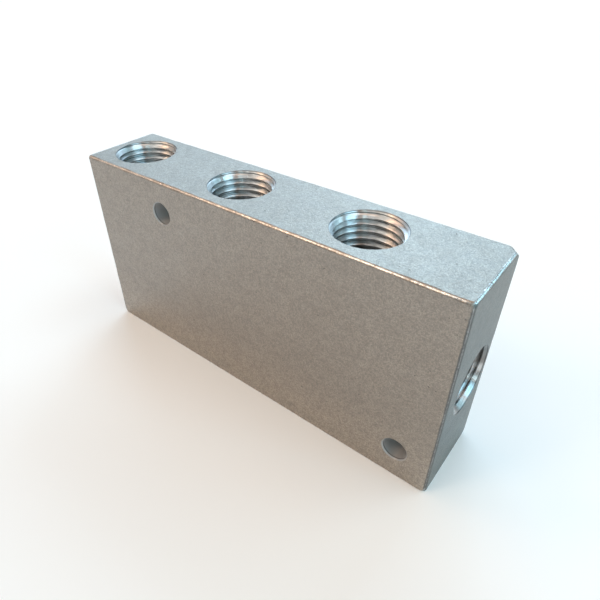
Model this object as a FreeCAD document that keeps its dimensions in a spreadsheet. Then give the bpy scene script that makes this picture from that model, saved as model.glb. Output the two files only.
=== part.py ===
import FreeCAD, Part
import Sketcher
import os

# Aluminium air manifold block. A bar has a row of tapped outlets along its top face, a tapped
# inlet in its right end, a blind drilled gallery that joins them, and two plain bolt holes
# through its thickness. Length runs along X, thickness along Y and height along Z. The front
# face looks towards -Y, and the origin is the middle of the bottom face.

# Driving dimensions, in millimetres and degrees

SIZES = [
    ("block_thickness", 19, "front face to rear face"),
    ("block_height", 46, "bottom face to top face"),
    ("edge_break", 0.3, "chamfer on the outer edges"),
    ("worn_edge_radius", 0.7, "rounding of the upright edge between front face and right end"),
    ("chip_along_length", 1.9, "clipped rear corner, reach along the top rear edge"),
    ("chip_along_thickness", 1.9, "clipped rear corner, reach along the top right edge"),
    ("chip_down", 1.6, "clipped rear corner, reach down the upright edge"),
    ("rub_along_length", 1.6, "rubbed front corner, reach along the top front edge"),
    ("rub_along_thickness", 0.9, "rubbed front corner, reach along the top right edge"),
    ("rub_down", 1.4, "rubbed front corner, reach down the upright edge"),
    ("thread_diameter", 14, "nominal thread of every port"),
    ("thread_pitch", 1.5, "pitch of every port thread"),
    ("drill_point_angle", 118, "cone angle at the end of a drilled hole"),
    ("countersink_angle", 60, "cone angle at the mouth of a port"),
    ("mouth_margin", 0.1, "mouth of a port wider than its thread"),
    ("outlet_count", 3, "outlets along the top face"),
    ("outlet_spacing", 30, "one outlet to the next"),
    ("first_outlet_inset", 9.1, "left end to the first outlet"),
    ("last_outlet_inset", 22.9, "last outlet to the right end"),
    ("outlet_off_middle", 0.3, "row of outlets, behind the middle of the thickness"),
    ("outlet_drill_depth", 16, "top face to the shoulder of the tapping drill"),
    ("passage_diameter", 6.5, "drilling from an outlet down to the gallery"),
    ("inlet_off_middle", 1.5, "inlet and gallery, behind the middle of the thickness"),
    ("inlet_height", 22.3, "bottom face to the axis of inlet and gallery"),
    ("inlet_drill_depth", 16, "right end to the shoulder of the tapping drill"),
    ("gallery_diameter", 9, "long drilling that joins the ports"),
    ("gallery_overrun", 3.5, "gallery past the axis of the first outlet"),
    ("bolt_hole_diameter", 5, "plain holes through the thickness"),
    ("bolt_hole_inset", 7.5, "axis of a bolt hole to its nearest edges"),
    ("bolt_hole_break", 0.25, "chamfer at both ends of a bolt hole"),
]

# Sizes that follow from the driving ones

TAPPING_DRILL = "sizes.thread_diameter - sizes.thread_pitch"
PORT_MOUTH = "sizes.thread_diameter + sizes.mouth_margin"
OUTLET_ROW = "(sizes.outlet_count - 1) * sizes.outlet_spacing"
BLOCK_LENGTH = f"(sizes.first_outlet_inset + {OUTLET_ROW} + sizes.last_outlet_inset)"
RIGHT_END = f"{BLOCK_LENGTH} / 2"
REAR_FACE = "sizes.block_thickness / 2"
FIRST_OUTLET = f"sizes.first_outlet_inset - {RIGHT_END}"
PASSAGE_DEPTH = "sizes.block_height - sizes.inlet_height"
GALLERY_DEPTH = f"{RIGHT_END} - ({FIRST_OUTLET}) + sizes.gallery_overrun"
UPPER_BOLT_X = f"{FIRST_OUTLET} + sizes.outlet_spacing / 2"
UPPER_BOLT_Z = "sizes.block_height - sizes.bolt_hole_inset"
LOWER_BOLT_X = f"{RIGHT_END} - sizes.bolt_hole_inset"

# Two lengths closer than this are equal

TOLERANCE = 1e-6


def write_sheet(doc):
    sheet = doc.addObject("Spreadsheet::Sheet", "sizes")
    for row, (alias, value, note) in enumerate(SIZES, start=1):
        sheet.set(f"A{row}", alias)
        sheet.set(f"B{row}", str(value))
        sheet.set(f"C{row}", note)
        sheet.setAlias(f"B{row}", alias)
    doc.recompute()


# Sketches

def origin_part(body, role):
    return next(item for item in body.Origin.OriginFeatures if item.Role == role)


def new_sketch(body, name, plane, offsets):
    """A sketch on an origin plane, moved by formulas such as {"Base.z": "sizes.block_height"}."""
    sketch = body.newObject("Sketcher::SketchObject", name)
    sketch.AttachmentSupport = [(origin_part(body, plane), "")]
    sketch.MapMode = "FlatFace"
    for path, formula in offsets.items():
        sketch.setExpression(".AttachmentOffset." + path, formula)
    return sketch


def bind(sketch, name, formula, kind, *places):
    value = float(sketch.evalExpression(formula))
    index = sketch.addConstraint(Sketcher.Constraint(kind, *places, value))
    sketch.renameConstraint(index, name)
    sketch.setExpression("Constraints." + name, formula)


def add_circle(sketch, name, across, right, up):
    """A circle whose centre lies to the right of and above the sketch's own origin."""
    diameter, x, y = [float(sketch.evalExpression(formula)) for formula in (across, right, up)]
    circle = Part.Circle(FreeCAD.Vector(x, y, 0), FreeCAD.Vector(0, 0, 1), diameter / 2)
    curve = sketch.addGeometry(circle, False)
    bind(sketch, name + "_across", across, "Diameter", curve)
    bind(sketch, name + "_right", right, "DistanceX", -1, 1, curve, 3)
    bind(sketch, name + "_up", up, "DistanceY", -1, 1, curve, 3)


def add_rectangle(sketch, width, depth):
    """A rectangle centred on the sketch's own origin."""
    x, y = [float(sketch.evalExpression(formula)) / 2 for formula in (width, depth)]
    corners = [FreeCAD.Vector(*corner, 0) for corner in ((-x, -y), (x, -y), (x, y), (-x, y))]
    for side, start in enumerate(corners):
        sketch.addGeometry(Part.LineSegment(start, corners[(side + 1) % 4]), False)
    for side in range(4):
        sketch.addConstraint(Sketcher.Constraint("Coincident", side, 2, (side + 1) % 4, 1))
        direction = "Horizontal" if side % 2 == 0 else "Vertical"
        sketch.addConstraint(Sketcher.Constraint(direction, side))
    sketch.addConstraint(Sketcher.Constraint("Symmetric", 0, 1, 1, 2, -1, 1))
    bind(sketch, "width", width, "DistanceX", 0, 1, 0, 2)
    bind(sketch, "depth", depth, "DistanceY", 1, 1, 1, 2)


# Edges, found by where they lie

def edges_where(feature, wanted):
    edges = enumerate(feature.Shape.Edges, start=1)
    return [f"Edge{number}" for number, edge in edges if wanted(edge)]


def is_front_right_upright(edge):
    box = edge.BoundBox
    upright = box.XLength < TOLERANCE and box.YLength < TOLERANCE
    return upright and box.Center.x > 0 and box.Center.y < 0


def is_bolt_hole_rim(edge):
    return isinstance(edge.Curve, Part.Circle) and edge.BoundBox.YLength < TOLERANCE


# Features

def make_bar(body):
    """The bar, with its worn upright edge rounded and its other edges broken."""
    outline = new_sketch(body, "bar_outline", "XY_Plane", {})
    add_rectangle(outline, BLOCK_LENGTH, "sizes.block_thickness")
    bar = body.newObject("PartDesign::Pad", "bar")
    bar.Profile = outline
    bar.setExpression("Length", "sizes.block_height")
    body.Document.recompute()
    worn = body.newObject("PartDesign::Fillet", "worn_edge")
    worn.Base = (bar, edges_where(bar, is_front_right_upright))
    worn.setExpression("Radius", "sizes.worn_edge_radius")
    body.Document.recompute()
    broken = body.newObject("PartDesign::Chamfer", "broken_edges")
    broken.Base = (worn, edges_where(worn, lambda edge: not is_front_right_upright(edge)))
    broken.setExpression("Size", "sizes.edge_break")
    body.Document.recompute()


def clip_corner(body, name, face, turn, length, thickness, drop):
    """A facet across a top corner at the right end, with its three reaches along the edges.

    face is the formula of the front or rear face, and turn is -1 for front and 1 for rear.
    """
    facet = new_sketch(body, name + "_facet", "XY_Plane", {
        "Base.x": f"{RIGHT_END} - {length}",
        "Base.y": face,
        "Base.z": "sizes.block_height",
        "Rotation.Yaw": f"{turn} * atan({length} / {thickness})",
        "Rotation.Pitch": f"atan({drop} * sqrt(1 / {length} ^ 2 + 1 / {thickness} ^ 2))",
    })
    cover = f"4 * max({length}; {thickness}; {drop})"
    add_rectangle(facet, cover, cover)
    clip = body.newObject("PartDesign::Pocket", name)
    clip.Profile = facet
    clip.setExpression("Length", cover)
    clip.Reversed = True
    body.Document.recompute()
    return clip


def drill(body, name, place, diameter, depth, mouth=None):
    """A blind hole with a pointed end and, where it has a mouth diameter, a countersink."""
    hole = body.newObject("PartDesign::Hole", name)
    hole.Profile = place
    hole.Threaded = False
    hole.DepthType = "Dimension"
    hole.setExpression("Diameter", diameter)
    hole.setExpression("Depth", depth)
    hole.DrillPoint = "Angled"
    hole.setExpression("DrillPointAngle", "sizes.drill_point_angle")
    if mouth:
        hole.HoleCutType = "Countersink"
        hole.HoleCutCustomValues = True
        hole.setExpression("HoleCutDiameter", mouth)
        hole.setExpression("HoleCutCountersinkAngle", "sizes.countersink_angle")
    body.Document.recompute()
    return hole


def drill_outlets(body):
    """The row of tapped outlets, each with a smaller drilling down to the gallery."""
    place = new_sketch(body, "first_outlet_place", "XY_Plane", {"Base.z": "sizes.block_height"})
    add_circle(place, "outlet", TAPPING_DRILL, FIRST_OUTLET, "sizes.outlet_off_middle")
    body.Document.recompute()
    outlet = drill(body, "outlet", place, TAPPING_DRILL, "sizes.outlet_drill_depth", PORT_MOUTH)
    passage = drill(body, "passage", place, "sizes.passage_diameter", PASSAGE_DEPTH)
    row = body.newObject("PartDesign::LinearPattern", "outlet_row")
    row.Originals = [outlet, passage]
    row.Direction = (origin_part(body, "X_Axis"), [""])
    row.Mode = "Spacing"
    row.setExpression("Offset", "sizes.outlet_spacing")
    row.setExpression("Occurrences", "sizes.outlet_count")
    body.Tip = row
    body.Document.recompute()


def drill_inlet(body):
    """The blind gallery and the tapped inlet at its mouth, on one axis in the right end."""
    place = new_sketch(body, "inlet_place", "YZ_Plane", {"Base.z": RIGHT_END})
    add_circle(place, "inlet", TAPPING_DRILL, "sizes.inlet_off_middle", "sizes.inlet_height")
    body.Document.recompute()
    drill(body, "gallery", place, "sizes.gallery_diameter", GALLERY_DEPTH)
    drill(body, "inlet", place, TAPPING_DRILL, "sizes.inlet_drill_depth", PORT_MOUTH)


def drill_bolt_holes(body):
    """Two plain holes through the thickness, set on a diagonal, with their rims broken."""
    place = new_sketch(body, "bolt_hole_places", "XZ_Plane", {"Base.z": REAR_FACE})
    add_circle(place, "upper", "sizes.bolt_hole_diameter", UPPER_BOLT_X, UPPER_BOLT_Z)
    add_circle(place, "lower", "sizes.bolt_hole_diameter", LOWER_BOLT_X, "sizes.bolt_hole_inset")
    holes = body.newObject("PartDesign::Pocket", "bolt_holes")
    holes.Profile = place
    holes.Type = "ThroughAll"
    body.Document.recompute()
    rims = body.newObject("PartDesign::Chamfer", "bolt_hole_rims")
    rims.Base = (holes, edges_where(holes, is_bolt_hole_rim))
    rims.setExpression("Size", "sizes.bolt_hole_break")
    body.Document.recompute()
    return holes


def check(doc, body, pockets):
    for item in doc.Objects:
        if "Invalid" in item.State or "Error" in item.State:
            raise RuntimeError(f"{item.Name} has failed")
    for pocket in pockets:
        if pocket.Shape.Volume > pocket.BaseFeature.Shape.Volume - TOLERANCE:
            raise RuntimeError(f"{pocket.Name} cuts nothing")
    shape = body.Shape
    if shape.isNull() or not shape.isValid() or len(shape.Solids) != 1:
        raise RuntimeError("the block is not one valid solid")


def main():
    doc = FreeCAD.newDocument("air_manifold")
    write_sheet(doc)
    body = doc.addObject("PartDesign::Body", "manifold_block")
    body.Label = "manifold_block"
    body.Placement = FreeCAD.Placement()
    make_bar(body)
    chip = clip_corner(body, "clipped_rear_corner", REAR_FACE, 1, "sizes.chip_along_length",
                       "sizes.chip_along_thickness", "sizes.chip_down")
    rub = clip_corner(body, "rubbed_front_corner", "-" + REAR_FACE, -1, "sizes.rub_along_length",
                      "sizes.rub_along_thickness", "sizes.rub_down")
    drill_outlets(body)
    drill_inlet(body)
    bolt_holes = drill_bolt_holes(body)
    doc.recompute()
    check(doc, body, [chip, rub, bolt_holes])
    os.makedirs("parts", exist_ok=True)
    body.Shape.exportStep(f"parts/{body.Label}.step")


main()
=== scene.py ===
import math

import bmesh
import bpy
import numpy as np
from mathutils import Matrix, Vector, noise


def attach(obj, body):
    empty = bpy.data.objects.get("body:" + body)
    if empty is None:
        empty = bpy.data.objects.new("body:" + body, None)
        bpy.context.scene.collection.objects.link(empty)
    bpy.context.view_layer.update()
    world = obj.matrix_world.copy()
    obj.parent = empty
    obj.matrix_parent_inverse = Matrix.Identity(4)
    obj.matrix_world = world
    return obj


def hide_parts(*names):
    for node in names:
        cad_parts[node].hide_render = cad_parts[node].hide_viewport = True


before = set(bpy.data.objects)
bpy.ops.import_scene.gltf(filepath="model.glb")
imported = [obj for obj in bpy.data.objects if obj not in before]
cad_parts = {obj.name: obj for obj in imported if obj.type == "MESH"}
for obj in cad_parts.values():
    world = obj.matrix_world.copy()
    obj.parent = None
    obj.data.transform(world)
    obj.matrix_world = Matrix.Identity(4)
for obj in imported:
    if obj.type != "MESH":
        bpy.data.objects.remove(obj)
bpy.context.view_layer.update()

# Looks of the air manifold block. The finished block is one mesh, a worn bar with its ports,
# drillings and threads cut out of it. Lengths are in millimetres until a mesh is made.

MM = 0.001

# The bar: half its length, thickness and height. It is centred in x and y and stands on z = 0.

HALF = np.array([46.0, 9.5, 23.0])
TOP = 46.0

# Ports: where they are, and their tapping drill, countersink and thread

OUTLETS_X = (-36.9, -6.9, 23.1)
OUTLETS_Y = 0.3
INLET_Y = 1.5
INLET_Z = 22.3
WALL_RADIUS = 6.25
DRILL_DEPTH = 16.0
POINT_SLOPE = math.tan(math.radians(59))
MOUTH = 7.05
MOUTH_SLOPE = math.tan(math.radians(30))
RIM_ROUND = 0.07
PITCH = 1.5
THREAD_ROOT = 7.0
THREAD_START = -2.025
THREAD_DEPTH = 13.0
CREST_ROUND = 0.15

# Passages down from the outlets, and the gallery in from the inlet to GALLERY_END in x. Their
# tools start inside the port's own hole.

PASSAGE_RADIUS = 3.25
GALLERY_RADIUS = 4.5
GALLERY_END = -40.4
DRILLED_FROM = -14

# Bolt holes: radius, edge break, and x and z of each

BOLT_RADIUS = 2.5
BOLT_BREAK = 0.25
BOLTS = ((-21.9, 38.5), (38.5, 7.5))

# Meshes: the bar's points lie NEAR_EDGE from its edges and LATTICE_STEP apart between. Round
# tools have SIDES sides and start OUTSIDE the block, and a thread's tool begins INSIDE the wall
# of the drilled hole. Cut edges sharper than CREASE stay crisp.

NEAR_EDGE = np.array([0, 0.08, 0.16, 0.24, 0.32, 0.42, 0.55, 0.7,
                      0.9, 1.1, 1.35, 1.6, 1.9, 2.2, 2.6, 3.0])
LATTICE_STEP = 0.7
SIDES = 72
OUTSIDE = 1.0
INSIDE = 0.15
CREASE = math.radians(24)

# Worn edges: how far from the sharp edge the wear begins, and the power of its section, which is
# 1 for a flat facet and 2 for a round

EDGE = (0.3, 1.2)
TOP_RIGHT_EDGE = (0.55, 2.0)
TOP_FRONT_EDGE = (0.45, 1.4)
FRONT_RIGHT_EDGE = (0.7, 2.0)

# Worn corners: signs of the corner, reach along x, y and z, and how softly the facet ends

WORN_CORNERS = (
    ((1, 1, 1), (1.9, 1.9, 1.6), 0.04),
    ((1, -1, 1), (1.6, 0.9, 1.4), 0.14),
    ((1, -1, -1), (1.0, 0.9, 1.2), 0.12),
    ((-1, -1, -1), (0.9, 0.8, 0.9), 0.12),
    ((1, 1, -1), (1.1, 1.1, 0.9), 0.08),
    ((-1, -1, 1), (0.6, 0.6, 0.6), 0.06),
    ((-1, 1, 1), (0.7, 0.7, 0.6), 0.06),
    ((-1, 1, -1), (0.7, 0.7, 0.7), 0.08),
)

# Lamps: bearing (0 is +X, 90 is +Y) and elevation in degrees, width and height in metres, and
# the colour and level that the lamp's surface shows. All are equally far from the block.

LAMP_DISTANCE = 2.0
LAMPS = (
    ("back_window_1", 134, 31, 1.35, 1.25, (0.57, 0.81, 1.0), 2.65),
    ("back_window_2", 101, 33, 1.0, 1.1, (0.54, 0.80, 1.0), 3.6),
    ("right_back", 50, 23, 1.3, 0.9, (0.46, 0.84, 1.0), 2.0),
    ("right_window", 1, 27, 1.2, 0.9, (0.36, 0.78, 1.0), 3.8),
    ("right_front", 316, 22, 0.4, 0.5, (0.60, 0.92, 1.0), 4.5),
    ("warm_left", 204, 24, 1.0, 0.9, (1.0, 0.75, 0.6), 0.7),
    ("warm_front", 232, 38, 0.6, 0.7, (1.0, 0.70, 0.48), 5.0),
    ("front_above", 253, 56, 0.9, 0.7, (1.0, 0.95, 0.86), 2.6),
    ("left_above", 190, 55, 0.8, 0.8, (1.0, 0.65, 0.45), 2.4),
    ("overhead", 30, 80, 1.2, 1.2, (1.0, 0.72, 0.56), 1.6),
    ("right_above", 36, 60, 0.8, 0.6, (0.60, 0.85, 1.0), 2.5),
    ("pair_1", 289, 33, 0.12, 0.35, (0.92, 1.0, 1.0), 8.0),
    ("pair_2", 299, 33, 0.12, 0.35, (0.92, 1.0, 1.0), 8.0),
)
WORLD_COLOUR = (1.0, 0.96, 0.90)
WORLD_LEVEL = 0.22
FLOOR_HALF = 3.0
FLOOR_COLOUR = (0.97, 0.96, 0.95, 1.0)

# The photograph's camera: focal length and middle in pixels, place, and directions

FRAME_SIDE = 600
FOCAL_LENGTH = 503.7
MIDDLE = (279.3, 295.1)
CAMERA_PLACE = Vector((59.77, -68.98, 89.06))
CAMERA_FORWARD = Vector((-0.51032, 0.61868, -0.59734))
CAMERA_UP = Vector((-0.36706, 0.47144, 0.80188))
SENSOR_WIDTH = 36.0


# Meshes

def add_object(name, points, faces, material):
    mesh = bpy.data.meshes.new(name)
    mesh.from_pydata([tuple(point) for point in np.asarray(points) * MM], [], faces)
    mesh.materials.append(material)
    item = bpy.data.objects.new(name, mesh)
    bpy.context.scene.collection.objects.link(item)
    return item


def graded(half):
    """Places along one axis from -half to half: close together near both ends."""
    last = half - NEAR_EDGE[-1]
    count = int(round(2 * last / LATTICE_STEP))
    middle = np.linspace(-last, last, count + 1)[1:-1]
    return np.concatenate([-half + NEAR_EDGE, middle, (half - NEAR_EDGE)[::-1]])


def bar_lattice():
    """Points and quads of the closed surface of the sharp bar, centred on the origin."""
    axes = [graded(half) for half in HALF]
    sizes = [len(axis) for axis in axes]
    quads = []
    for fixed in range(3):
        first, second = (fixed + 1) % 3, (fixed + 2) % 3
        a, b = np.meshgrid(np.arange(sizes[first] - 1), np.arange(sizes[second] - 1), indexing="ij")
        for level in (0, sizes[fixed] - 1):
            ring = []
            for da, db in ((0, 0), (1, 0), (1, 1), (0, 1)):
                place = [None, None, None]
                place[fixed] = np.full(a.size, level)
                place[first] = (a + da).ravel()
                place[second] = (b + db).ravel()
                ring.append((place[0] * sizes[1] + place[1]) * sizes[2] + place[2])
            quads.append(np.stack(ring if level else ring[::-1], axis=1))
    quads = np.concatenate(quads)
    keys, index = np.unique(quads, return_inverse=True)
    spots = np.stack([axes[0][keys // (sizes[1] * sizes[2])],
                      axes[1][keys // sizes[2] % sizes[1]],
                      axes[2][keys % sizes[2]]], axis=1)
    return spots, index.reshape(quads.shape)


def ripple(points, wavelength, seed):
    """Smooth noise of about -1 to 1 at each point."""
    shift = Vector((seed * 17.3, seed * 9.1, seed * 5.7))
    return np.array([noise.noise(Vector(point) / wavelength + shift) for point in points]) * 1.6


def squeeze(a, b, reach, power):
    """Rounds the corner between two edges. a and b are distances from them, one of which is 0."""
    va, vb = np.maximum(reach - a, 0), np.maximum(reach - b, 0)
    size = np.maximum((va ** power + vb ** power) ** (1 / power), 1e-9)
    inside = (a < reach) & (b < reach)
    scale = np.where(inside, reach / size, 1)
    return np.where(inside, reach - va * scale, a), np.where(inside, reach - vb * scale, b)


def wear(spots):
    """Moves the sharp bar's points to the worn edges and clipped corners of the real one."""
    side = np.where(spots < 0, -1, 1)
    gap = HALF - np.abs(spots)
    rough = 1 + 0.22 * ripple(spots, 2.5, 1) + 0.12 * ripple(spots, 0.8, 2)
    near_side = np.minimum(gap[:, 0], gap[:, 1])
    top_right = (side[:, 2] > 0) & (side[:, 0] > 0) & (gap[:, 0] < gap[:, 1])
    top_front = (side[:, 2] > 0) & (side[:, 1] < 0) & (gap[:, 1] <= gap[:, 0])
    kinds = [top_right, top_front]
    reach = np.select(kinds, [TOP_RIGHT_EDGE[0], TOP_FRONT_EDGE[0]], EDGE[0]) * rough
    power = np.select(kinds, [TOP_RIGHT_EDGE[1], TOP_FRONT_EDGE[1]], EDGE[1])
    inward, down = squeeze(near_side, gap[:, 2], reach, power)
    out = np.minimum(np.abs(spots[:, :2]), HALF[:2] - inward[:, None])
    front_right = (side[:, 0] > 0) & (side[:, 1] < 0)
    reach = np.where(front_right, FRONT_RIGHT_EDGE[0], EDGE[0]) * rough
    reach = np.maximum(reach - inward, 0.001)
    power = np.where(front_right, FRONT_RIGHT_EDGE[1], EDGE[1])
    beside = HALF[:2] - inward[:, None] - out
    bx, by = squeeze(beside[:, 0], beside[:, 1], reach, power)
    out = HALF[:2] - inward[:, None] - np.stack([bx, by], axis=1)
    moved = np.column_stack([out, HALF[2] - down]) * side
    uneven = 0.05 * ripple(spots, 0.9, 3)

    # Points past a corner's facet are pushed back to it, softly where the facet ends

    for signs, reaches, soft in WORN_CORNERS:
        lean = 1 / np.array(reaches)
        length = np.linalg.norm(lean)
        past = (1 - ((HALF - moved * signs) * lean).sum(axis=1)) / length + uneven
        push = soft * np.logaddexp(0, past / soft)
        push = np.where(past > -8 * soft, push, 0)
        moved = moved - push[:, None] * (lean / length) * signs
    return moved


def build_bar(material):
    spots, quads = bar_lattice()
    points = wear(spots) + [0, 0, HALF[2]]
    return add_object("manifold_block_finished", points, quads.tolist(), material)


# Cutting tools: each is made round an axis, and along is the distance outside the face that the
# hole starts from, so it is negative inside the block

def axis_frame(origin, out, right):
    """The place of a tool: its axis points out of the face, and angle 0 is to the right."""
    out, right = Vector(out), Vector(right)
    return np.array([right, out.cross(right), out]), np.array(origin)


def on_axis(place, radius, angle, along):
    turn, origin = place
    local = np.stack([radius * np.cos(angle), radius * np.sin(angle), along], axis=-1)
    return local @ turn + origin


def lathe(name, place, profile, material):
    """A closed round tool from (radius, along) points, which start and end on the axis."""
    angle = np.arange(SIDES) * 2 * math.pi / SIDES
    rings = [on_axis(place, np.full(SIDES, radius), angle, np.full(SIDES, along))
             for radius, along in profile[1:-1]]
    ends = [on_axis(place, 0.0, 0.0, along) for _, along in (profile[0], profile[-1])]
    points = np.concatenate(rings + [np.array(ends)])
    last_ring = (len(rings) - 1) * SIDES
    first, last = last_ring + SIDES, last_ring + SIDES + 1
    faces = []
    for k in range(SIDES):
        n = (k + 1) % SIDES
        faces.append((first, k, n))
        for a in range(0, last_ring, SIDES):
            b = a + SIDES
            faces.append((a + k, b + k, b + n, a + n))
        faces.append((last, last_ring + n, last_ring + k))
    return add_object(name, points, faces, material)


def arc(middle, radius, first, last, count):
    """Points from the first to the last angle, which is 0 towards a smaller second coordinate."""
    angles = np.radians(np.linspace(first, last, count))
    return [(middle[0] + radius * math.sin(a), middle[1] - radius * math.cos(a)) for a in angles]


def thread_tool(name, place, material):
    """A right-hand helical groove, which runs out over its last turn.

    Its rows follow the groove's section from turn to turn, and each column of them lies a little
    deeper than the one before, so that the last column meets the first one a pitch further down.
    """
    inner = WALL_RADIUS - INSIDE
    half_root = PITCH / 16
    middle = half_root + (THREAD_ROOT - WALL_RADIUS) * MOUTH_SLOPE
    ridge = middle + CREST_ROUND * MOUTH_SLOPE
    rounding = arc((ridge, WALL_RADIUS + CREST_ROUND), CREST_ROUND, -10, -60, 4)
    lower = [(ridge + 0.03, inner), *rounding, (half_root, THREAD_ROOT)]
    upper = [(-offset, radius) for offset, radius in (lower[0], lower[1], lower[-2], lower[-1])]
    outline = upper + lower[::-1]
    turns = range(-2, math.ceil(THREAD_DEPTH / PITCH) + 1)
    rows = np.array([(turn * PITCH + middle + offset, radius)
                     for turn in turns for offset, radius in outline])
    count, step = len(rows), len(outline)
    columns = []
    for k in range(SIDES):
        along = THREAD_START + PITCH * k / SIDES - rows[:, 0]
        fade = np.clip((THREAD_DEPTH + along) / PITCH, 0, 1)
        radius = inner + (rows[:, 1] - inner) * fade
        columns.append(on_axis(place, radius, np.full(count, k * 2 * math.pi / SIDES), along))
    above = on_axis(place, 0.0, 0.0, THREAD_START + 3 * PITCH + OUTSIDE)
    below = on_axis(place, 0.0, 0.0, THREAD_START - rows[-1, 0] - 0.5)
    top, bottom = SIDES * count, SIDES * count + 1
    end = (SIDES - 1) * count
    faces = []
    for k in range(SIDES - 1):
        here = k * count
        beside = here + count
        faces += [(here + j, here + j + 1, beside + j + 1, beside + j) for j in range(count - 1)]
        faces.append((top, here, beside))
        faces.append((bottom, beside + count - 1, beside - 1))
    faces += [(end + j, end + j + 1, j + 1 - step, j - step) for j in range(step, count - 1)]
    faces += [(top, end + j, end + j + 1) for j in range(step)]
    faces.append((top, end + step, 0))
    faces += [(bottom, j + 1, j) for j in range(count - 1 - step, count - 1)]
    faces.append((bottom, count - 1 - step, end + count - 1))
    return add_object(name, np.concatenate(columns + [[above], [below]]), faces, material)


def port_profile():
    """The tapping drill's hole with its countersink and point, from outside the face down."""
    cone_depth = (MOUTH - WALL_RADIUS) / MOUTH_SLOPE
    shoulder = MOUTH + RIM_ROUND * MOUTH_SLOPE
    rim = arc((shoulder, -RIM_ROUND), RIM_ROUND, 172, 120, 4)
    return [
        (0, OUTSIDE),
        (shoulder + 0.3, OUTSIDE),
        *[(2 * shoulder - radius, along) for radius, along in rim],
        (WALL_RADIUS, -cone_depth),
        (WALL_RADIUS, -DRILL_DEPTH),
        (0, -DRILL_DEPTH - WALL_RADIUS / POINT_SLOPE),
    ]


def drilling_profile(radius, along):
    """A passage from inside the port's hole to its drill point, whose shoulder lies at along."""
    point = along - radius / POINT_SLOPE
    return [(0, DRILLED_FROM), (radius, DRILLED_FROM), (radius, along), (0, point)]


def bolt_profile():
    """A hole right through the thickness, widened by the edge breaks at both faces."""
    wide, face = BOLT_RADIUS + BOLT_BREAK + OUTSIDE, HALF[1]
    return [
        (0, face + OUTSIDE),
        (wide, face + OUTSIDE),
        (BOLT_RADIUS, face - BOLT_BREAK),
        (BOLT_RADIUS, BOLT_BREAK - face),
        (wide, -face - OUTSIDE),
        (0, -face - OUTSIDE),
    ]


def cut(block, tools):
    """Cuts all tools out of the block. Each cut face takes the material of its tool."""
    for tool in tools:
        step = block.modifiers.new(tool.name, "BOOLEAN")
        step.operation = "DIFFERENCE"
        step.solver = "MANIFOLD"
        step.material_mode = "TRANSFER"
        step.object = tool
    bpy.context.view_layer.update()
    evaluated = block.evaluated_get(bpy.context.evaluated_depsgraph_get())
    finished = bpy.data.meshes.new_from_object(evaluated)
    block.modifiers.clear()
    block.data = finished
    for tool in tools:
        bpy.data.objects.remove(tool)


def shade(block):
    """Smooth everywhere, with crisp edges round the holes and along the threads."""
    shape = bmesh.new()
    shape.from_mesh(block.data)
    for face in shape.faces:
        face.smooth = True
    for edge in shape.edges:
        bored = any(face.material_index for face in edge.link_faces)
        if bored and len(edge.link_faces) == 2 and edge.calc_face_angle() > CREASE:
            edge.smooth = False
    shape.to_mesh(block.data)
    shape.free()


# Materials

class Finish:
    """A material whose nodes are added one after another."""

    def __init__(self, name):
        self.material = bpy.data.materials.new(name)
        self.material.use_nodes = True
        self.nodes = self.material.node_tree.nodes
        self.links = self.material.node_tree.links
        self.shader = self.nodes["Principled BSDF"]
        object_place = self.nodes.new("ShaderNodeTexCoord").outputs["Object"]
        self.place = self.vector("SCALE", object_place, scale=1 / MM)

    def node(self, kind, values, **settings):
        """Adds a node. values are its inputs by name or number, as numbers or as other sockets."""
        made = self.nodes.new(kind)
        for key, value in settings.items():
            setattr(made, key, value)
        for key, value in values.items():
            self.put(made.inputs[key], value)
        return made

    def put(self, socket, value):
        if isinstance(value, bpy.types.NodeSocket):
            self.links.new(value, socket)
        else:
            socket.default_value = value

    def vector(self, operation, *values, scale=None):
        made = self.node("ShaderNodeVectorMath", dict(enumerate(values)), operation=operation)
        if scale is not None:
            made.inputs["Scale"].default_value = scale
        return made.outputs["Vector"]

    def math(self, operation, *values):
        return self.node("ShaderNodeMath", dict(enumerate(values)), operation=operation).outputs[0]

    def times(self, first, second):
        return self.math("MULTIPLY", first, second)

    def dot(self, first, second):
        values = {0: first, 1: tuple(second)}
        return self.node("ShaderNodeVectorMath", values, operation="DOT_PRODUCT").outputs["Value"]

    def parts(self, vector):
        return self.node("ShaderNodeSeparateXYZ", {0: vector}).outputs

    def noise(self, scale, detail=2.0, rough=0.5, place=None, seed=0.0):
        """Noise of 0 to 1, whose coarsest spots are about 1 / scale millimetres wide."""
        values = {"Scale": scale, "Detail": detail, "Roughness": rough, "W": seed}
        values["Vector"] = self.place if place is None else place
        return self.node("ShaderNodeTexNoise", values, noise_dimensions="4D").outputs["Fac"]

    def spread(self, value, low, high, to_low=0.0, to_high=1.0):
        """Takes low to to_low and high to to_high with soft ends. low may be the larger one."""
        values = {0: value, 1: low, 2: high, 3: to_low, 4: to_high}
        return self.node("ShaderNodeMapRange", values, interpolation_type="SMOOTHSTEP").outputs[0]

    def blend(self, amount, first, second):
        """Mixes two colours: an amount of 0 is the first one, and 1 is the second."""
        made = self.node("ShaderNodeMix", {0: amount, 6: first, 7: second}, data_type="RGBA")
        return made.outputs[2]

    def bump(self, height, depth):
        """depth is how far apart heights of 0 and 1 lie, in millimetres."""
        values = {"Height": height, "Distance": depth * MM, "Strength": 1.0}
        return self.node("ShaderNodeBump", values).outputs["Normal"]


def grey(level, warmth=0.0):
    """The reflectance of bare metal. Warmth turns it towards brown."""
    return (level * (1 + warmth / 2), level * (1 - warmth / 4), level * (1 - warmth), 1.0)


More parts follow.
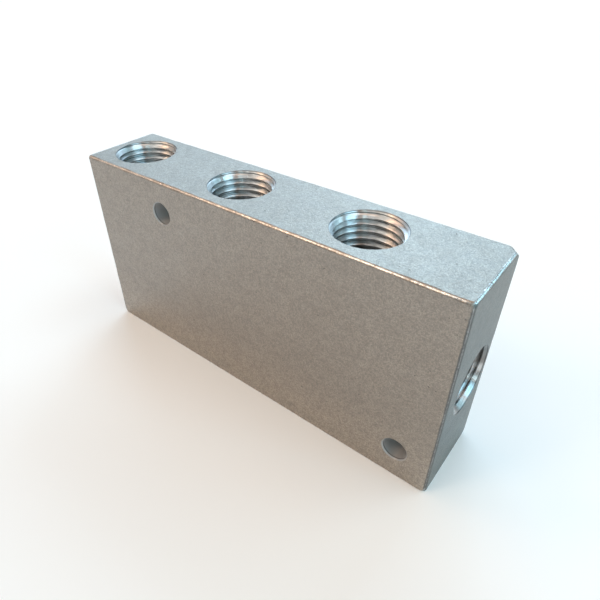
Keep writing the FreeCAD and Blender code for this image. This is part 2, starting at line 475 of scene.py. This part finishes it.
def satin():
    """The blasted outer faces, with grain, mottling and small pits.

    They are lighter and warmer near the floor, a painted reflection of the floor, and cooler and
    darker at the ends, a painted cool reflection. Their edges and corners are rubbed bright, and
    the round of the front right upright edge is darkened.
    """
    finish = Finish("blasted_aluminium")
    grain = finish.noise(4.2, 1.0, 0.6)
    speckle = finish.noise(2.1, 2.0, 0.5, seed=3.0)
    blotch = finish.noise(0.9, 2.0, 0.5, seed=23.0)
    mottle = finish.noise(0.3, 4.0, 0.6, seed=7.0)
    patch = finish.noise(0.06, 2.0, 0.5, seed=11.0)
    pits = finish.spread(finish.noise(1.3, 1.0, 0.5, seed=17.0), 0.73, 0.79)

    # Distances from the faces, edges and corners in millimetres

    centre = finish.vector("SUBTRACT", finish.place, (0, 0, HALF[2]))
    gap = finish.vector("SUBTRACT", tuple(HALF), finish.vector("ABSOLUTE", centre))
    x, y, z = finish.parts(gap)
    pairs = ((x, y), (y, z), (z, finish.times(x, 0.6)))
    larger = [finish.math("MAXIMUM", *pair) for pair in pairs]
    edge_gap = finish.math("MINIMUM", finish.math("MINIMUM", *larger[:2]), larger[2])
    corner_gap = finish.times(finish.math("ADD", finish.math("ADD", x, y), z), 0.35)
    edge_gap = finish.math("MINIMUM", edge_gap, corner_gap)
    diagonal = finish.dot(centre, (1, -1, 0))
    front_right = HALF[0] + HALF[1] - 0.62

    # Masks of what changes from place to place

    # Painted reflection of the lit floor: the faces get lighter and warmer towards the bottom
    low = finish.spread(finish.parts(finish.place)[2], 17.0, 2.0, 0.0, 0.6)
    # Painted cool reflection: the ends are cooler and darker
    end = finish.times(finish.spread(x, 0.5, 0.3), 0.55)
    rubbed = finish.spread(finish.math("MULTIPLY_ADD", speckle, 0.35, edge_gap), 0.55, 0.3)
    # A dark line along the round of the front right upright edge
    dark_edge_line = finish.spread(diagonal, front_right, front_right + 0.17)
    dark_edge_line = finish.times(dark_edge_line, finish.spread(z, 0.9, 1.6))

    # Tone, from the base up

    tone = finish.blend(finish.spread(mottle, 0.3, 0.7), grey(0.40, 0.16), grey(0.42, 0.15))
    painted_cool_reflection = (0.04, 0.09, 0.105, 1.0)
    layers = (
        (finish.spread(patch, 0.35, 0.65, 0.0, 0.4), grey(0.39, 0.17)),
        (low, grey(0.58, 0.2)),
        (finish.spread(grain, 0.3, 0.7, 0.6, 0.0), grey(0.2, 0.1)),
        (finish.spread(speckle, 0.3, 0.6, 0.5, 0.0), grey(0.22, 0.1)),
        (finish.spread(blotch, 0.35, 0.6, 0.22, 0.0), grey(0.22, 0.1)),
        (finish.times(pits, 0.7), grey(0.1)),
        (end, painted_cool_reflection),
        (finish.times(rubbed, 0.85), grey(0.88)),
        (finish.times(dark_edge_line, 0.7), grey(0.1)),
    )
    for amount, colour in layers:
        tone = finish.blend(amount, tone, colour)
    finish.put(finish.shader.inputs["Base Color"], tone)
    finish.shader.inputs["Metallic"].default_value = 1.0
    rough = finish.spread(mottle, 0.3, 0.7, 0.44, 0.40)
    finish.put(finish.shader.inputs["Roughness"], finish.math("MULTIPLY_ADD", rubbed, -0.18, rough))
    height = finish.math("MULTIPLY_ADD", speckle, 1.8, grain)
    height = finish.math("MULTIPLY_ADD", pits, -1.5, height)
    finish.put(finish.shader.inputs["Normal"], finish.bump(height, 0.04))
    return finish.material


def machined(name, axis, mouth, depth, level, deep, rough, ring, metallic=1.0, shade_above=None):
    """Cut surfaces, whose fine marks run round the axis of the hole and spread light along it.

    Their reflectance is level at the mouth, and falls to deep at a depth below it, a painted
    shade in the hole. It is also nearer to deep on the walls between the thread's turns, and on the
    side of the hole that faces +Y, where shade is painted too. ring is from where to where below
    the mouth a dark line lies, with a brighter lip over it. Above the height given last, if any,
    the surface is darker, a painted dark reflection.
    """
    finish = Finish(name)
    along = Vector(axis)
    stretch = tuple(0.4 + 5 * part for part in along)
    marks = finish.noise(1.0, 2.0, 0.6, place=finish.vector("MULTIPLY", finish.place, stretch))
    stain_and_shade_noise = finish.noise(0.5, 3.0, 0.6, seed=5.0)
    normal = finish.node("ShaderNodeNewGeometry", {}).outputs["Normal"]
    below = finish.math("SUBTRACT", mouth, finish.math("ABSOLUTE", finish.dot(finish.place, along)))
    # Painted shade: darker the deeper below the mouth, in patches
    depth_shade = finish.math("MULTIPLY_ADD", stain_and_shade_noise, 3.0, finish.math("SUBTRACT", below, 1.5))
    # Painted shade on the walls between the thread's turns, and on the side of the hole that faces
    # +Y
    wall = finish.spread(finish.math("ABSOLUTE", finish.dot(normal, along)), 0.4, 0.15)
    front_side_shade = finish.spread(finish.parts(normal)[1], -0.1, 0.05)
    ring_start, ring_end = ring
    # A dark line just below the mouth, with the lip over it
    dark_ring = finish.times(finish.spread(below, ring_start - 0.1, ring_start),
                        finish.spread(below, ring_end + 0.1, ring_end))
    lip = finish.spread(below, ring_start, ring_start - 0.1)

    tone = finish.blend(finish.spread(depth_shade, depth * 0.6, depth), grey(level), grey(deep, 0.04))
    layers = [
        (finish.spread(marks, 0.3, 0.5, 0.3, 0.0), grey(deep)),
        (finish.times(wall, 0.75), grey(deep)),
        (finish.times(front_side_shade, 0.5), grey(deep)),
        (finish.times(dark_ring, 0.7), grey(0.06)),
        (lip, grey(0.42)),
    ]
    if shade_above is not None:
        # Painted dark reflection: the surface is darker above the given height
        upper_shade = finish.math("MULTIPLY_ADD", stain_and_shade_noise, 3.0, finish.parts(finish.place)[2])
        upper_shade = finish.spread(upper_shade, shade_above, shade_above + 3.0, 0.0, 0.8)
        layers.insert(3, (upper_shade, grey(deep * 0.8, 0.1)))
    for amount, colour in layers:
        tone = finish.blend(amount, tone, colour)
    finish.put(finish.shader.inputs["Base Color"], tone)
    finish.shader.inputs["Metallic"].default_value = metallic
    matt = finish.spread(stain_and_shade_noise, 0.3, 0.7, rough * 0.9, rough * 1.1)
    matt = finish.times(matt, finish.spread(lip, 0, 1, 1.0, 0.5))
    finish.put(finish.shader.inputs["Roughness"], matt)
    finish.shader.inputs["Anisotropic"].default_value = 1.0
    turned = finish.node("ShaderNodeCombineXYZ", dict(enumerate(along))).outputs["Vector"]
    finish.put(finish.shader.inputs["Tangent"], turned)
    finish.put(finish.shader.inputs["Normal"], finish.bump(marks, 0.03))
    return finish.material


# Block

def build_block():
    outlet_cut = machined("cut_outlet_thread", (0, 0, 1), TOP, depth=9.0, level=0.95, deep=0.2,
                          rough=0.36, ring=(-0.1, 0.12))
    inlet_cut = machined("cut_inlet_thread", (1, 0, 0), HALF[0], depth=6.0, level=0.85, deep=0.2,
                         rough=0.34, ring=(-0.1, 0.12), shade_above=INLET_Z - 2)
    drilled = machined("drilled_bore", (0, 1, 0), HALF[1], depth=2.0, level=0.46, deep=0.42,
                       rough=0.7, ring=(0.27, 0.42), metallic=0.2)
    block = build_bar(satin())
    tools = []
    for number, x in enumerate(OUTLETS_X, start=1):
        place = axis_frame((x, OUTLETS_Y, TOP), (0, 0, 1), (1, 0, 0))
        tools.append(lathe(f"outlet_{number}", place, port_profile(), outlet_cut))
        tools.append(thread_tool(f"outlet_thread_{number}", place, outlet_cut))
        passage = drilling_profile(PASSAGE_RADIUS, INLET_Z - TOP)
        tools.append(lathe(f"passage_{number}", place, passage, drilled))
    place = axis_frame((HALF[0], INLET_Y, INLET_Z), (1, 0, 0), (0, 1, 0))
    tools.append(lathe("inlet", place, port_profile(), inlet_cut))
    tools.append(thread_tool("inlet_thread", place, inlet_cut))
    gallery = drilling_profile(GALLERY_RADIUS, GALLERY_END - HALF[0])
    tools.append(lathe("gallery", place, gallery, drilled))
    for number, (x, z) in enumerate(BOLTS, start=1):
        place = axis_frame((x, 0, z), (0, 1, 0), (0, 0, 1))
        tools.append(lathe(f"bolt_hole_{number}", place, bolt_profile(), drilled))
    cut(block, tools)
    shade(block)
    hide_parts("manifold_block")
    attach(block, "root")


# Floor, light and camera

def build_floor():
    finish = Finish("pale_floor")
    finish.shader.inputs["Base Color"].default_value = FLOOR_COLOUR
    finish.shader.inputs["Roughness"].default_value = 1.0
    finish.shader.inputs["Specular IOR Level"].default_value = 0.0
    corners = np.array([(-1, -1, 0), (1, -1, 0), (1, 1, 0), (-1, 1, 0)]) * FLOOR_HALF / MM
    floor = add_object("floor", corners, [(0, 1, 2, 3)], finish.material)


def build_lamp(name, bearing, elevation, width, height, colour, level):
    lamp = bpy.data.lights.new(name, "AREA")
    lamp.shape = "RECTANGLE"
    lamp.size, lamp.size_y = width, height
    lamp.color = colour
    lamp.energy = level * math.pi * width * height
    item = bpy.data.objects.new(name, lamp)
    a, e = math.radians(bearing), math.radians(elevation)
    towards = Vector((math.cos(e) * math.cos(a), math.cos(e) * math.sin(a), math.sin(e)))
    item.location = towards * LAMP_DISTANCE + Vector((0, 0, HALF[2] * MM))
    item.rotation_euler = towards.to_track_quat("Z", "Y").to_euler()
    bpy.context.scene.collection.objects.link(item)


def build_world():
    world = bpy.data.worlds.new("studio")
    world.use_nodes = True
    background = world.node_tree.nodes["Background"]
    background.inputs["Color"].default_value = (*WORLD_COLOUR, 1)
    background.inputs["Strength"].default_value = WORLD_LEVEL
    bpy.context.scene.world = world


def build_camera():
    camera = bpy.data.cameras.new("camera")
    camera.sensor_width = SENSOR_WIDTH
    camera.lens = SENSOR_WIDTH * FOCAL_LENGTH / FRAME_SIDE
    camera.shift_x = (FRAME_SIDE / 2 - MIDDLE[0]) / FRAME_SIDE
    camera.shift_y = (MIDDLE[1] - FRAME_SIDE / 2) / FRAME_SIDE
    camera.clip_start = 0.001
    item = bpy.data.objects.new("camera", camera)
    right = CAMERA_FORWARD.cross(CAMERA_UP).normalized()
    up = right.cross(CAMERA_FORWARD).normalized()
    turn = Matrix((right, up, -CAMERA_FORWARD.normalized())).transposed()
    item.matrix_world = Matrix.Translation(CAMERA_PLACE * MM) @ turn.to_4x4()
    bpy.context.scene.collection.objects.link(item)
    bpy.context.scene.camera = item


build_block()
build_floor()
for lamp in LAMPS:
    build_lamp(*lamp)
build_world()
build_camera()
bpy.context.scene.view_settings.view_transform = "Standard"
bpy.context.scene.cycles.glossy_bounces = 10
